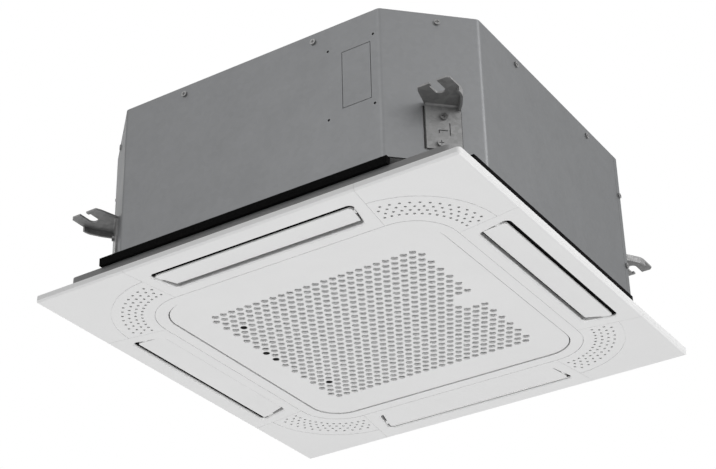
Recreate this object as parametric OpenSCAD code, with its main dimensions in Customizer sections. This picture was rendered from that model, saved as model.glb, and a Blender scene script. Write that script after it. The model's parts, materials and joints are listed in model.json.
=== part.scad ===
// Ceiling cassette air conditioner: square face panel, octagonal casing, four outlets and one intake grille.
// The face is at the bottom with its lowest plane at zero height, +Z up, +X to the right seen from the front.

/* [Face panel] */
// side of the square face
panel_side = 620; // [400:5:1200]
// height of the face's outer rim
rim_height = 9; // [7:0.5:20]
// plan radius of the face's corners
panel_corner_r = 5; // [2:0.5:20]
// bevel along the face's lower edge
rim_bevel = 2.4; // [0.5:0.1:4]
// thickness of the outer rim wall
rim_wall = 3; // [1.5:0.1:5]
// thickness of the face skin
skin = 2.8; // [1.5:0.1:4]
// gap between neighbouring moulded pieces
seam_gap = 0.35; // [0.2:0.05:1]
// radius of the ring line's corners
ring_r = 62; // [30:0.5:150]
// distance from the outlets to the ring line
ring_margin = 17.1; // [5:0.1:40]
// width of the ring line
ring_line_width = 1.1; // [0.4:0.1:3]
// depth of the ring line and of the corner arc line
line_depth = 0.7; // [0.3:0.1:1.5]
// distance from the ring line to the grille opening
opening_margin = 17.1; // [5:0.1:40]
// thickness of the walls behind the face
rib = 2.4; // [1.2:0.1:4]
// distance of the slanted seam's start before the ring line's corner
seam_lead = 2.5; // [0:0.1:20]
// sideways run of the slanted seam
seam_run = 13.3; // [2:0.1:40]

/* [Corner covers] */
// radius of the curved line in each corner cover
arc_line_r = 118; // [60:0.5:200]
// width of the curved line
arc_line_width = 1; // [0.4:0.1:3]
// radius of the innermost row of small holes
dot_row_r = 78.6; // [40:0.1:150]
// distance between rows of small holes
dot_row_step = 8.4; // [4:0.1:20]
// radius of a small hole
dot_r = 1.85; // [0.8:0.05:4]
// number of rows of small holes
dot_rows = 4; // [1:1:6]
// holes in the first row
dot_count = 13; // [4:1:20]
// angle covered by the first row, in degrees
dot_angle = 79; // [40:1:90]
// thickness of the ledge behind each corner cover
ledge = 2.2; // [1:0.1:4]
// radius of the snap pegs behind each corner cover
peg_r = 2.4; // [1:0.1:5]
// clearance around a snap peg
peg_clearance = 0.15; // [0.05:0.05:0.5]
// height of the snap pegs above the skin
peg_height = 5; // [2:0.5:10]

/* [Outlets] */
// width of an outlet
outlet_width = 45.8; // [20:0.1:120]
// distance from the face's edge to the outlets
outlet_margin = 26.6; // [12:0.1:60]
// distance from an outlet's inner corner to the slanted seam's start
outlet_end_margin = 17; // [5:0.5:60]
// sideways run of an outlet's slanted ends
outlet_run = 11.5; // [0:0.5:40]
// corner radius of an outlet
outlet_r = 7; // [2:0.5:20]
// width of the bevelled lip around an outlet
lip = 1.5; // [0.5:0.1:3]
// overhang of the outlet's outer lip in front of the duct
duct_lip_out = 5.8; // [2:0.1:15]
// widening of the duct behind the outlet's inner edge
duct_lip_in = 1.2; // [0:0.1:10]

/* [Louvres] */
// gap between a louvre and the outlet's inner edge
louvre_gap_in = 3.7; // [1:0.1:8]
// gap between a louvre and the outlet's outer edge
louvre_gap_out = 5.5; // [1:0.1:8]
// gap between a louvre and the outlet's plain end
louvre_gap_end = 4; // [1:0.1:8]
// gap between a louvre and the outlet's motor end
louvre_gap_motor = 4; // [1:0.1:8]
// height of a closed louvre's underside
louvre_z = 1.5; // [0.5:0.1:3]
// thickness of a louvre
louvre_thickness = 2.9; // [1.5:0.1:6]
// height of the foam behind an outlet's outer edge
seal_low = 4.8; // [4:0.1:7]
// thickness of a louvre at its thin inner edge
louvre_edge = 1.5; // [0.8:0.1:4]
// distance from the outlet's outer edge to a louvre's turning axis
louvre_axis_in = 17.6; // [6:0.1:50]
// height of a louvre's turning axis
louvre_axis_z = 5.6; // [3:0.1:12]
// opening angle of the louvres at rest, in degrees
louvre_rest = 6; // [0:0.5:60]
// radius of a louvre's pins
louvre_pin_r = 2; // [1:0.1:4]
// radial running clearance of pins in their bores
pin_clearance = 0.06; // [0.02:0.01:0.1]
// radius of the ear that carries a louvre pin
louvre_ear_r = 4; // [2:0.1:8]
// thickness of a louvre ear
louvre_ear = 2.4; // [1:0.1:6]
// distance of the louvre ears beyond the outlet's inner corners
louvre_ear_beyond = 3; // [1:0.5:20]
// distance of the louvre pins' ends beyond the outlet's outer corners
louvre_pin_beyond = 2.9; // [1:0.1:10]
// thickness of the bearing blocks at the outlet's ends
bearing_block = 5; // [2:0.1:10]
// gap between the ear and the bearing block
bearing_gap = 0.6; // [0.3:0.1:3]
// width of a louvre motor
motor_box = 24; // [10:0.5:40]
// length of a louvre motor
motor_box_long = 18; // [8:0.5:40]
// height of a louvre motor
motor_box_high = 17; // [8:0.5:26]

/* [Intake grille] */
// gap between the grille and its opening
grille_gap = 1.6; // [0.5:0.1:4]
// height of the grille's lower face
grille_z = 1.2; // [0:0.1:3]
// thickness of the grille's plate
grille_thickness = 2.4; // [1:0.1:5]
// plain margin around the field of holes
hole_margin = 46.4; // [20:0.1:80]
// radius of a hole as a share of the distance between holes
hole_share = 0.3668; // [0.2:0.0001:0.42]
// number of rows of holes
hole_rows = 27; // [3:2:61]
// holes in the middle row
hole_columns = 25; // [3:2:61]
// count of holes left out at the right-hand end of the three middle rows
left_out_count = 3; // [0:1:6]
// distance from the filter to the wall around it
grille_wall_gap = 4; // [1:0.5:20]
// height of the wall behind the grille
grille_wall_height = 7; // [2:0.5:20]
// distance from the grille's edge to its hinge axis
hinge_inset = 31.8; // [20:0.1:60]
// height of the grille's hinge axis
hinge_z = 2.6; // [1.5:0.1:6]
// radius of the hinge pins
hinge_pin_r = 0.9; // [0.5:0.05:2]
// length of the lugs behind the grille that hold the hinge pins
hinge_lug = 12; // [5:0.5:30]
// width of the catches opposite the hinge
catch_width = 18; // [8:0.5:40]
// distance of the catches from the middle, as a share of the opening's half side
catch_share = 0.492; // [0.1:0.001:0.8]
// depth of the catches
catch_depth = 5; // [2:0.5:10]

/* [Filter] */
// distance from the grille opening to the filter along X
filter_margin_x = 31.4; // [10:0.1:60]
// distance from the grille opening to the filter along Y
filter_margin_y = 42.4; // [10:0.1:80]
// height of the underside of the filter
filter_z = 5; // [4:0.1:12]
// thickness of the filter frame
filter_thickness = 3.6; // [2:0.1:10]
// width of the filter frame's bars
filter_bar = 7; // [3:0.5:15]
// width of the filter's cross bars
filter_rib = 2; // [1:0.5:8]
// thickness of the filter mesh
mesh_thickness = 0.8; // [0.4:0.1:2]
// side of a filter clip
clip_side = 11; // [5:0.5:20]
// radius of a grille lock screw
lock_screw_r = 5.6; // [3:0.1:9]
// column of the lock screws, counted from the middle
lock_column = 10.5; // [1:0.5:11]
// row of the lock screws, counted from the middle
lock_row = 9; // [1:1:12]

/* [Back frame and seal] */
// corner radius of the grey frame
frame_corner_r = 8; // [2:0.5:30]
// height of the grey frame above the rim
frame_rise = 30; // [16:0.5:60]
// distance from the casing's side to the far end of each seal strip
seal_long = 56; // [10:0.5:120]
// thickness of the grey frame's walls
frame_wall = 2.4; // [1:0.1:4]
// distance from the casing's side to the near end of each seal strip
seal_short = 85; // [30:0.5:160]
// gap between the grey frame and the casing, filled by the seal
seal_height = 11; // [4:0.5:40]

/* [Casing] */
// distance from the face's edge back to the casing's side
casing_inset = 25; // [5:0.5:60]
// size of the casing's cut corners, measured along a side
casing_cut = 89.2; // [30:0.1:200]
// height of the casing
casing_height = 214; // [160:1:420]
// outer radius of the casing's bends
bend_outer_r = 7; // [4:0.5:30]
// thickness of the casing's sheet steel
sheet = 1.2; // [0.8:0.1:3]
// width of the lap of the back sheet onto the side sheets
lap = 11; // [5:0.5:30]
// thickness of the lining inside the casing
lining = 7; // [3:0.5:20]
// depth of the lid's inner flange
lid_flange = 17; // [8:0.5:40]
// thickness of the gap around the knock-out
knockout_gap = 0.8; // [0.3:0.1:2]
// distance from the cut corner to the middle of the knock-out
knockout_inset = 33.8; // [24:0.1:120]
// distance of the knock-out's centre below the lid
knockout_drop = 84.5; // [60:0.1:140]
// knock-out width
knockout_width = 40; // [20:0.5:80]
// knock-out height
knockout_height = 81; // [30:0.5:110]
// margin of the plate behind the knock-out
knockout_margin = 4; // [2:0.5:10]
// shift of the four holes by the knock-out towards the middle
pilot_shift = 7.9; // [0:0.1:12]
// distance along X between the holes by the knock-out
pilot_dx = 65.6; // [30:0.1:90]
// distance in height between the holes by the knock-out
pilot_dz = 101; // [50:0.5:150]
// radius of the holes by the knock-out
pilot_r = 1.7; // [0.8:0.1:4]
// radius of a casing screw's head
screw_head_r = 3.9; // [2:0.1:8]
// height of a casing screw's head
screw_head = 2.2; // [1:0.1:5]
// radius of a casing screw's shank
screw_r = 1.9; // [1:0.1:4]
// length of a casing screw's shank
screw_long = 5; // [3:0.5:15]
// width of the slot in a screw's head
screw_slot = 1; // [0.5:0.1:2]
// distance of the lid screws below the top
lid_screw_drop = 11; // [5:0.5:16]
// distance of the lid screws from the middle of a side, as a share of the casing's half side
lid_screw_share = 0.351; // [0.1:0.001:0.6]
// distance of a corner's lid screw from the middle of its cut corner
corner_screw_at = 10; // [0:0.5:40]
// distance of the upper lap screw below the lid
lap_screw_drop = 60.8; // [20:0.1:90]
// height of the lower lap screw above the casing's edge
lap_screw_rise = 42; // [20:0.5:80]

/* [Hangers] */
// distance of the hanging rods inside the casing's sides
rod_inset = 22; // [12:0.5:60]
// half width of the hanging slot
rod_slot_r = 6.5; // [4:0.1:9]
// thickness of a hanger
hanger_sheet = 2.5; // [1.5:0.1:5]
// how far the inner prong's tip hooks over the slot's mouth
slot_hook = 3; // [0:0.5:6]
// depth of the flange bent down along the tongue's outer side
flange_drop = 7; // [2:0.5:15]
// height of a hanger's tongue above the casing's edge
tongue_rise = 79; // [40:0.5:130]
// height of a hanger's lower edge above the casing's edge
hanger_rise = 16; // [8:0.5:50]
// start of a hanger's plate along its cut corner
hanger_from = -10.5; // [-60:0.5:0]
// end of a hanger's plate along its cut corner
hanger_to = 33.3; // [5:0.1:60]
// distance of the tongue's tips inside the casing's side planes
tongue_short = 3.5; // [0:0.5:20]
// width of the tongue on the inner side of the slot
tongue_in_side = 19.5; // [10:0.5:40]
// width of the tongue on the outer side of the slot
tongue_out_side = 19; // [10:0.5:40]
// cut at the tongue's tip corners
tongue_cut = 3.5; // [1:0.5:10]
// length of the tongue's straight outer side
tongue_straight = 26; // [5:0.5:50]
// narrowing of the tongue towards its root
tongue_waist = 14; // [2:0.5:40]
// width of the lanced tab
tab_width = 13.4; // [6:0.1:30]
// height of the lanced tab
tab_height = 17.5; // [8:0.5:30]
// distance of the lanced tab's top below the tongue
tab_drop = 25.5; // [20:0.5:40]
// width of the cuts around the lanced tab
tab_cut = 1.2; // [0.5:0.1:3]
// distance of the upper hanger screw below the tongue
hanger_screw_drop = 18; // [10:0.5:22]
// height of the lower hanger screw above the plate's edge
hanger_screw_rise = 7; // [5:0.5:12]
// sideways shift of the lower hanger screw
hanger_screw_shift = 4.8; // [0:0.1:8]
// width of the slit beside a hanger plate, on the side nearer the middle
slit_wide = 2.6; // [0.5:0.1:5]
// width of the slit on a hanger plate's other side
slit_narrow = 1.2; // [0.5:0.1:5]
// radius of a hanger screw's head
hanger_screw_head_r = 4.6; // [3:0.1:8]
// height of a hanger screw's head
hanger_screw_head = 3.4; // [1:0.1:6]

/* [Inside] */
// height of the drain pan above the casing's edge
pan_lift = 2; // [1:0.5:10]
// height of the drain pan
pan_height = 30; // [22:0.5:60]
// depth of the trough in the drain pan
trough_depth = 18; // [5:0.5:40]
// distance from the duct to the heat exchanger
coil_inset = 14.4; // [6:0.1:60]
// corner radius of the heat exchanger
coil_r = 60; // [20:1:120]
// thickness of the heat exchanger
coil_thick = 26; // [10:1:60]
// distance of the heat exchanger below the lid
coil_drop = 14.8; // [2:0.1:40]
// clearance between the heat exchanger and the trough
coil_clearance = 4; // [1:0.5:10]
// distance from the pump to where the heat exchanger ends
coil_gap = 56; // [40:0.5:110]
// radius of the exchanger tubes
tube_r = 3.6; // [2:0.1:8]
// number of return bends
bend_count = 8; // [2:1:14]
// radius of a return bend
bend_r = 9.5; // [4:0.5:20]
// radial gap between the bell mouth's throat and the fan's inlet
throat_gap = 5; // [2:0.5:15]
// distance of the bell mouth's flare inside the fan's rim
flare_inset = 2; // [0:0.5:20]
// distance of the throat's top below the drain pan's top
throat_drop = 2; // [0:0.5:10]
// thickness of the bell mouth
bell = 2; // [1:0.1:5]
// radial space between the fan and the heat exchanger
fan_space = 44; // [15:0.5:90]
// width of the fan's shroud
shroud_width = 31; // [10:0.5:60]
// height of the fan's inlet above the throat
fan_gap = 4; // [2:0.5:15]
// distance of the fan's back plate below the motor
fan_drop = 7; // [4:0.5:20]
// thickness of the fan's walls
fan_wall = 2.2; // [1:0.1:5]
// number of fan blades
blade_count = 7; // [3:1:13]
// inner radius of the blades as a share of the fan's radius
blade_share = 0.605; // [0.3:0.001:0.75]
// radius of a blade's curve as a share of the fan's radius
curve_share = 0.553; // [0.3:0.001:0.8]
// height of the shroud's slope
shroud_rise = 24; // [5:0.5:60]
// radius of the fan's hub
hub_r = 15; // [6:0.5:40]
// height of the fan's hub below its back plate
hub_height = 22; // [8:0.5:60]
// radius of the motor shaft
shaft_r = 5; // [2:0.1:12]
// length of the motor shaft below the fan's hub
shaft_below = 12; // [8:0.5:30]
// across flats of the fan nut
nut_flats = 16; // [8:0.5:40]
// thickness of the fan nut
nut_thick = 7; // [3:0.5:20]
// radius of the fan motor as a share of the fan's radius
motor_share = 0.408; // [0.2:0.001:0.6]
// height of the motor mounts
mount_height = 13.8; // [4:0.1:40]
// height of the fan motor
motor_height = 50; // [15:0.5:120]
// radius of the boss under the fan motor
motor_boss_r = 22; // [8:0.5:50]
// radius of a motor mount
mount_r = 10; // [4:0.5:30]
// distance of the motor mounts inside the motor's edge
mount_inset = 12; // [10:0.5:30]

/* [Pump and float] */
// distance of the pump inside the heat exchanger's corner lines
pump_inset = 16; // [0:0.5:60]
// radius of the pump
pump_r = 21; // [8:0.5:50]
// height of the pump above the drain pan's underside
pump_lift = 16; // [10:0.5:30]
// height of the pump
pump_height = 62; // [20:0.5:120]
// radius of the pump's impeller
impeller_r = 12; // [5:0.5:30]
// height of the pump's impeller
impeller_height = 7; // [3:0.5:20]
// play around the pump's impeller
impeller_play = 1.2; // [0.4:0.1:4]
// radius of the impeller's shaft
impeller_shaft_r = 1.5; // [0.8:0.1:4]
// distance of the float beyond the heat exchanger's side
float_out = 15; // [12:0.5:30]
// distance from the pump to the float
float_gap = 38; // [32:0.5:80]
// radius of the float ring
float_r = 10; // [4:0.5:25]
// height of the float ring
float_height = 12; // [4:0.5:30]
// height of the float ring at rest above the drain pan's underside
float_lift = 18; // [10:0.5:30]
// radius of the float's stem
stem_r = 2.5; // [1:0.1:6]
// play between the float ring and its stem
stem_play = 0.4; // [0.3:0.05:1]
// height of the float stem above the float ring's rest
stem_rise = 42; // [30:0.5:90]

/* [Electrical] */
// half length of the electrical box as a share of the opening's half side
box_share = 0.58; // [0.2:0.01:0.7]
// depth of the electrical box along Y
box_depth = 44; // [20:0.5:80]
// distance from the grille opening to the electrical box
box_margin = 1.4; // [0.5:0.1:20]
// height of the electrical box
box_height = 34; // [15:0.5:36]
// wall of the electrical box
box_wall = 1.6; // [0.8:0.1:4]
// thickness of the control board
board = 1.6; // [0.8:0.1:3]
// height of the terminal block
terminal_height = 11; // [4:0.5:20]
// radius of the room sensor
sensor_r = 3; // [1.5:0.1:6]
// length of the room sensor
sensor_long = 24; // [8:0.5:60]

/* [Connections] */
// distance of the pipe connections below the lid
pipe_drop = 66.8; // [40:0.1:110]
// distance from the cut corner to the gas pipe
gas_inset = 67.8; // [40:0.1:110]
// distance between the gas pipe and the liquid pipe
liquid_gap = 36; // [24:0.5:60]
// distance between the liquid pipe and the drain socket
drain_gap = 44; // [28:0.5:80]
// radius of the gas pipe
gas_r = 4.76; // [3:0.01:12]
// radius of the liquid pipe
liquid_r = 3.18; // [2:0.01:8]
// outer radius of the drain socket's free end
drain_r = 12.5; // [8:0.5:20]
// wall of the pipes and the socket
pipe_wall = 0.8; // [0.5:0.1:2]
// wall of the drain socket
drain_wall = 2; // [1:0.1:4]
// how far the connections stand out from the casing
pipe_reach_out = 22; // [16:0.5:60]
// length of a flare union's hexagon
union_hex = 9; // [6:0.5:12]
// radius of the gas union's free end
gas_union_r = 7.94; // [5:0.01:16]
// margin of the pipe plate beyond the outer connections
pipe_plate_margin = 22; // [16:0.5:40]
// radius of the liquid union's free end
liquid_union_r = 5.56; // [4:0.01:12]
// step from a union's free end out to its hexagon
union_step = 2.4; // [1:0.1:6]
// radius of the drain socket inside the pipe plate
drain_inner_r = 11; // [6:0.5:18]
// half height of the pipe plate
pipe_plate_high = 26; // [15:1:50]

/* [Hidden] */
$fn = 72;
panel_half = panel_side / 2;
outlet_out = panel_half - outlet_margin;
outlet_in = outlet_out - outlet_width;
ring_half = outlet_in - ring_margin;
arc_centre = ring_half - ring_r;
opening_half = ring_half - opening_margin;
opening_r = opening_half - arc_centre;
seam_start = arc_centre - seam_lead;
seam_end = seam_start + seam_run;
outlet_half_in = seam_start - outlet_end_margin;
outlet_half_out = outlet_half_in + outlet_run;
duct_out = outlet_out - duct_lip_out;
duct_in = outlet_in - duct_lip_in;
frame_half = duct_out + frame_wall;
louvre_axis = outlet_out - louvre_axis_in;
louvre_ear_at = outlet_half_in + louvre_ear_beyond;
louvre_pin_at = outlet_half_out + louvre_pin_beyond;
grille_half = opening_half - grille_gap;
grille_r = grille_half - arc_centre;
hole_pitch = (grille_half - hole_margin) / ((hole_columns - 1) / 2);
row_pitch = hole_pitch * sqrt(3) / 2;
hole_r = hole_share * hole_pitch;
hinge_x = grille_half - hinge_inset;
hinge_run = hinge_x - arc_centre;
hinge_edge = arc_centre + sqrt(grille_r * grille_r - hinge_run * hinge_run);
hinge_lug_in = hinge_edge - rib / 2 - hinge_lug;
hinge_reach = hinge_edge + grille_gap + 5 / 3 * rib;
catch_at = catch_share * opening_half;
filter_x = opening_half - filter_margin_x;
filter_y = opening_half - filter_margin_y;
grille_wall_x = filter_x + grille_wall_gap;
grille_wall_y = filter_y + grille_wall_gap;
lock_x = lock_column * hole_pitch;
lock_y = lock_row * row_pitch;
cover_back = skin + seam_gap;
grille_back = grille_z + grille_thickness;
frame_top = rim_height + frame_rise;
casing_z = frame_top + seal_height;
casing_half = panel_half - casing_inset;
casing_top = casing_z + casing_height;
cut_reach = (2 * casing_half - casing_cut) / sqrt(2);
casing_turn = casing_half - casing_cut;
inner_half = casing_half - sheet;
lined_half = inner_half - lining;
lid_z = casing_top - sheet;
liner_out = -2 * sheet - seam_gap - screw_long;
liner_in = liner_out - lining;
knockout_x = casing_turn - knockout_inset;
knockout_z = lid_z - knockout_drop;
pilot_x = knockout_x - pilot_shift;
lid_screw_at = lid_screw_share * casing_half;
lap_screw_z = lid_z - lap_screw_drop;
lap_screw_low_z = casing_z + lap_screw_rise;
rod_half = casing_half - rod_inset;
tongue_z = casing_z + tongue_rise;
tongue_tip = casing_half - tongue_short;
tongue_in = rod_half - tongue_in_side;
tongue_out = rod_half + tongue_out_side;
tongue_side = tongue_out + tongue_cut;
hanger_low_z = casing_z + hanger_rise;
hanger_mid = (hanger_from + hanger_to) / 2;
hanger_screw_z = tongue_z - hanger_screw_drop;
hanger_screw_low_z = hanger_low_z + hanger_screw_rise;
tab_top = tongue_z - tab_drop;
pan_z = casing_z + pan_lift;
pan_top = pan_z + pan_height;
coil_half = duct_in - coil_inset;
coil_top = lid_z - coil_drop;
pump_at = coil_half - pump_inset;
coil_gap_at = pump_at - coil_gap;
tube_pitch = (coil_top - pan_top) / bend_count;
fan_r = coil_half - coil_thick - fan_space;
fan_inlet_r = fan_r - shroud_width;
throat_r = fan_inlet_r - throat_gap;
flare_r = fan_r - flare_inset;
throat_z = pan_top - throat_drop;
fan_z = throat_z + fan_gap;
motor_z = lid_z - mount_height - motor_height;
motor_r = motor_share * fan_r;
mount_at = motor_r - mount_inset;
fan_plate_z = motor_z - fan_drop;
blade_in_r = blade_share * fan_r;
blade_curve_r = curve_share * fan_r;
shaft_low_z = fan_plate_z - hub_height - shaft_below;
pump_z = pan_z + pump_lift;
float_x = coil_half + float_out;
float_y = pump_at - float_gap;
float_z = pan_z + float_lift;
stem_top = float_z + stem_rise;
box_to = opening_half - box_margin;
box_from = box_to - box_depth;
box_half = box_share * opening_half;
box_top = pan_z - bell;
box_z = box_top - box_height;
pipe_z = lid_z - pipe_drop;
gas_y = casing_turn - gas_inset;
liquid_y = gas_y - liquid_gap;
drain_y = liquid_y - drain_gap;
pipe_plate_half = (gas_y - drain_y) / 2 + pipe_plate_margin;
plate_face = casing_half + sheet;
pipe_reach = casing_half + pipe_reach_out;
white = [0.86, 0.86, 0.86];
steel = [0.52, 0.53, 0.54];
dark = [0.07, 0.07, 0.07];
grey = [0.42, 0.43, 0.44];
copper = [0.72, 0.45, 0.28];

function unit(v) = v / norm(v);
function fillet(a, b, c, r, n) =
  let (u = unit(a - b), v = unit(c - b), h = acos(u * v) / 2, o = b + unit(u + v) * r / sin(h))
  let (s = b + u * r / tan(h) - o, e = b + v * r / tan(h) - o, f = atan2(s[1], s[0]))
  let (d = atan2(e[1], e[0]) - f, w = d > 180 ? d - 360 : (d < -180 ? d + 360 : d))
  [for (i = [0 : n]) o + r * [cos(f + w * i / n), sin(f + w * i / n)]];
function rounded(p, r, n) = let (m = len(p))
  [for (i = [0 : m - 1]) for (q = fillet(p[(i + m - 1) % m], p[i], p[(i + 1) % m], r, n)) q];
function turned(p, a) = [p[0] * cos(a) - p[1] * sin(a), p[0] * sin(a) + p[1] * cos(a)];

module rounded_square(half, r) {
  square([2 * half, 2 * (half - r)], center = true);
  square([2 * (half - r), 2 * half], center = true);
  for (x = [-1, 1], y = [-1, 1]) translate([x * (half - r), y * (half - r)]) circle(r);
}

module rounded_plate(half, r, from, to) {
  translate([0, 0, from]) linear_extrude(to - from) rounded_square(half, r);
}

module rounded_wall(half, r, wall, from, to) {
  difference() {
    rounded_plate(half, r, from, to);
    rounded_plate(half - wall, r - wall, from - wall, to + wall);
  }
}

module box(low, high) {
  translate(low) cube(high - low);
}

module octagon(half, cut, r) {
  t = half - cut;
  polygon(rounded([[t, -half], [half, -t], [half, t], [t, half], [-t, half], [-half, t], [-half, -t],
    [-t, -half]], r, 4));
}

module octagon_plate(grow, from, to) {
  h = casing_half + grow;
  c = casing_cut + grow * (2 - sqrt(2));
  r = max(bend_outer_r + grow, sheet);
  translate([0, 0, from]) linear_extrude(to - from) octagon(h, c, r);
}

module octagon_wall(grow, wall, from, to) {
  difference() {
    octagon_plate(grow, from, to);
    octagon_plate(grow - wall, from - wall, to + wall);
  }
}

// outlet shape for the front side: near and far distance from the centre, grown at its ends
module outlet_shape(near, far, grow, r) {
  slope = (outlet_half_out - outlet_half_in) / (outlet_out - outlet_in);
  wide_in = outlet_half_in + (near - outlet_in) * slope + grow;
  wide_out = outlet_half_in + (far - outlet_in) * slope + grow;
  polygon(rounded([[-wide_in, -near], [wide_in, -near], [wide_out, -far], [-wide_out, -far]], r, 6));
}

module outlet_block(near, far, grow, r, from, to) {
  translate([0, 0, from]) linear_extrude(to - from) outlet_shape(near, far, grow, r);
}

module each_side() {
  for (a = [0, 90, 180, 270]) rotate(a) children();
}

// corner cover outline for the corner at +X and +Y
module cover_shape(gap) {
  s = ring_half + gap;
  e = panel_half + gap;
  inset = gap;
  difference() {
    polygon([[seam_start + inset, s], [seam_end + inset, e], [e, e], [e, seam_end + inset],
      [s, seam_start + inset], [arc_centre, arc_centre]]);
    translate([arc_centre, arc_centre]) circle(ring_r + gap);
    square([2 * arc_centre, 2 * s], center = true);
    square([2 * s, 2 * arc_centre], center = true);
  }
}

module rim_profile() {
  polygon([[-panel_half + rim_bevel, 0], [panel_half - rim_bevel, 0], [panel_half, rim_bevel],
    [panel_half, rim_height], [-panel_half, rim_height], [-panel_half, rim_bevel]]);
}

// the face with its rim, open at the back
module face_shell() {
  difference() {
    intersection() {
      rounded_plate(panel_half, panel_corner_r, 0, rim_height);
      rotate([90, 0, 0]) linear_extrude(panel_side, center = true) rim_profile();
      rotate([90, 0, 90]) linear_extrude(panel_side, center = true) rim_profile();
    }
    rounded_plate(panel_half - rim_wall, panel_corner_r - rim_wall / 2, skin, rim_height + skin);
  }
}

module ring_line() {
  difference() {
    rounded_plate(ring_half + ring_line_width / 2, ring_r + ring_line_width / 2, -line_depth, line_depth);
    rounded_plate(ring_half - ring_line_width / 2, ring_r - ring_line_width / 2, -skin, skin);
  }
}

function arc_points(r, from, to, n) = [for (i = [0 : n])
  let (a = from + (to - from) * i / n) [arc_centre + r * cos(a), arc_centre + r * sin(a)]];

module ledge_shape() {
  low = outlet_half_out + rib / 2;
  high = panel_half - rim_wall - seam_gap;
  r = opening_r + 3 / 2 * rib;
  near = dot_row_r - 2 * dot_r;
  far = dot_row_r + (dot_rows - 1) * dot_row_step + 2 * dot_r;
  difference() {
    polygon(concat([[low, arc_centre + r]], arc_points(r, 90, 0, 8),
      [[arc_centre + r, low], [high, low], [high, high - panel_corner_r], [high - panel_corner_r, high],
      [low, high]]));
    polygon(concat(arc_points(near, 3, 87, 12), arc_points(far, 87, 3, 16)));
  }
}

module corner_ledge() {
  difference() {
    translate([0, 0, skin / 2]) linear_extrude(cover_back + ledge - skin / 2) ledge_shape();
    translate([0, 0, -skin]) linear_extrude(skin + cover_back) cover_shape(0);
    pegs(peg_r + peg_clearance, 0);
    rotate(90) motor_seat(seam_gap);
  }
}

// space of one louvre motor, at the right-hand end of the front outlet
module motor_seat(gap) {
  x = outlet_half_out + seam_gap;
  box([x - gap, -louvre_axis - motor_box / 3 - gap, cover_back - gap],
    [x + motor_box_long + gap, -louvre_axis + motor_box * 2 / 3 + gap, cover_back + motor_box_high]);
}

module pegs(r, from) {
  d = arc_line_r + 3 * peg_r;
  for (a = [20, 70]) translate([arc_centre + d * cos(a), arc_centre + d * sin(a), from])
    cylinder(r = r, h = skin + peg_height - from);
}

module louvre_bearings() {
  y = -louvre_axis;
  for (s = [-1, 1]) difference() {
    x = louvre_ear_at + louvre_ear + bearing_gap;
    translate([s > 0 ? x : -x - bearing_block, y - 2 * louvre_ear_r + rib, skin])
      cube([bearing_block, 3 * louvre_ear_r, rim_height - skin]);
    translate([0, y, louvre_axis_z]) rotate([0, 90, 0])
      cylinder(r = louvre_pin_r + pin_clearance, h = panel_side, center = true);
  }
}

module panel_frame() color(white) difference() {
  union() {
    difference() {
      union() {
        face_shell();
        rounded_wall(opening_half + 2 * rib, opening_r + 2 * rib, rib, skin / 2, rim_height);
      }
      rounded_plate(opening_half, opening_r, -skin, 2 * rim_height);
      each_side() outlet_block(outlet_in, outlet_out, 0, outlet_r, -skin, skin + seam_gap);
      each_side() lip_cut();
      each_side() translate([0, 0, -skin]) linear_extrude(skin + 2 * rim_height) cover_shape(0);
    }
    each_side() corner_ledge();
    each_side() outlet_walls();
    each_side() louvre_bearings();
  }
  ring_line();
  each_side() translate([0, -louvre_axis, louvre_axis_z]) rotate([0, 90, 0])
    cylinder(r = louvre_pin_r + pin_clearance, h = 2 * louvre_pin_at, center = true);
  translate([hinge_x, 0, hinge_z]) rotate([90, 0, 0])
    cylinder(r = hinge_pin_r + pin_clearance, h = 2 * (hinge_reach + seam_gap), center = true);
}

module lip_cut() {
  slope = (outlet_half_out - outlet_half_in) / (outlet_out - outlet_in);
  m = (outlet_in + outlet_out) / 2;
  w = outlet_half_in + (m - outlet_in) * slope;
  translate([0, -m, 0]) mirror([0, 0, 1]) translate([0, 0, -lip])
    linear_extrude(lip, slices = 1, scale = [1 + lip / w, 1 + 2 * lip / (outlet_out - outlet_in)])
      translate([0, m]) outlet_shape(outlet_in, outlet_out, 0, outlet_r);
}

module outlet_walls() {
  difference() {
    outlet_block(duct_in - rib, frame_half, rib, outlet_r, skin / 2, rim_height);
    outlet_block(duct_in, duct_out, 0, outlet_r, 0, 2 * rim_height);
    outlet_block(outlet_in, outlet_out, 0, outlet_r, 0, skin + seam_gap);
    box([-panel_half, -panel_half, 0], [panel_half, -duct_out + 2 * rib, 2 * rim_height]);
  }
}

module corner_cover() color(white) {
  difference() {
    union() {
      intersection() {
        face_shell();
        translate([0, 0, -skin]) linear_extrude(2 * rim_height) cover_shape(seam_gap);
      }
      pegs(peg_r, skin / 2);
    }
    translate([arc_centre, arc_centre, -skin]) {
      for (row = [0 : dot_rows - 1]) for (i = [0 : dot_count - 1 - row % 2])
        rotate(45 + (i - (dot_count - 1 - row % 2) / 2) * dot_angle / (dot_count - 1))
          translate([dot_row_r + row * dot_row_step, 0]) cylinder(r = dot_r, h = 3 * skin);
      intersection() {
        difference() {
          cylinder(r = arc_line_r + arc_line_width / 2, h = skin + line_depth);
          translate([0, 0, -skin]) cylinder(r = arc_line_r - arc_line_width / 2, h = 3 * skin);
        }
        translate([dot_r, dot_r, -skin]) cube(panel_half);
      }
    }
  }
}
module corner_cover_back_right() corner_cover();
module corner_cover_back_left() rotate(90) corner_cover();
module corner_cover_front_left() rotate(180) corner_cover();
module corner_cover_front_right() rotate(270) corner_cover();

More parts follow.
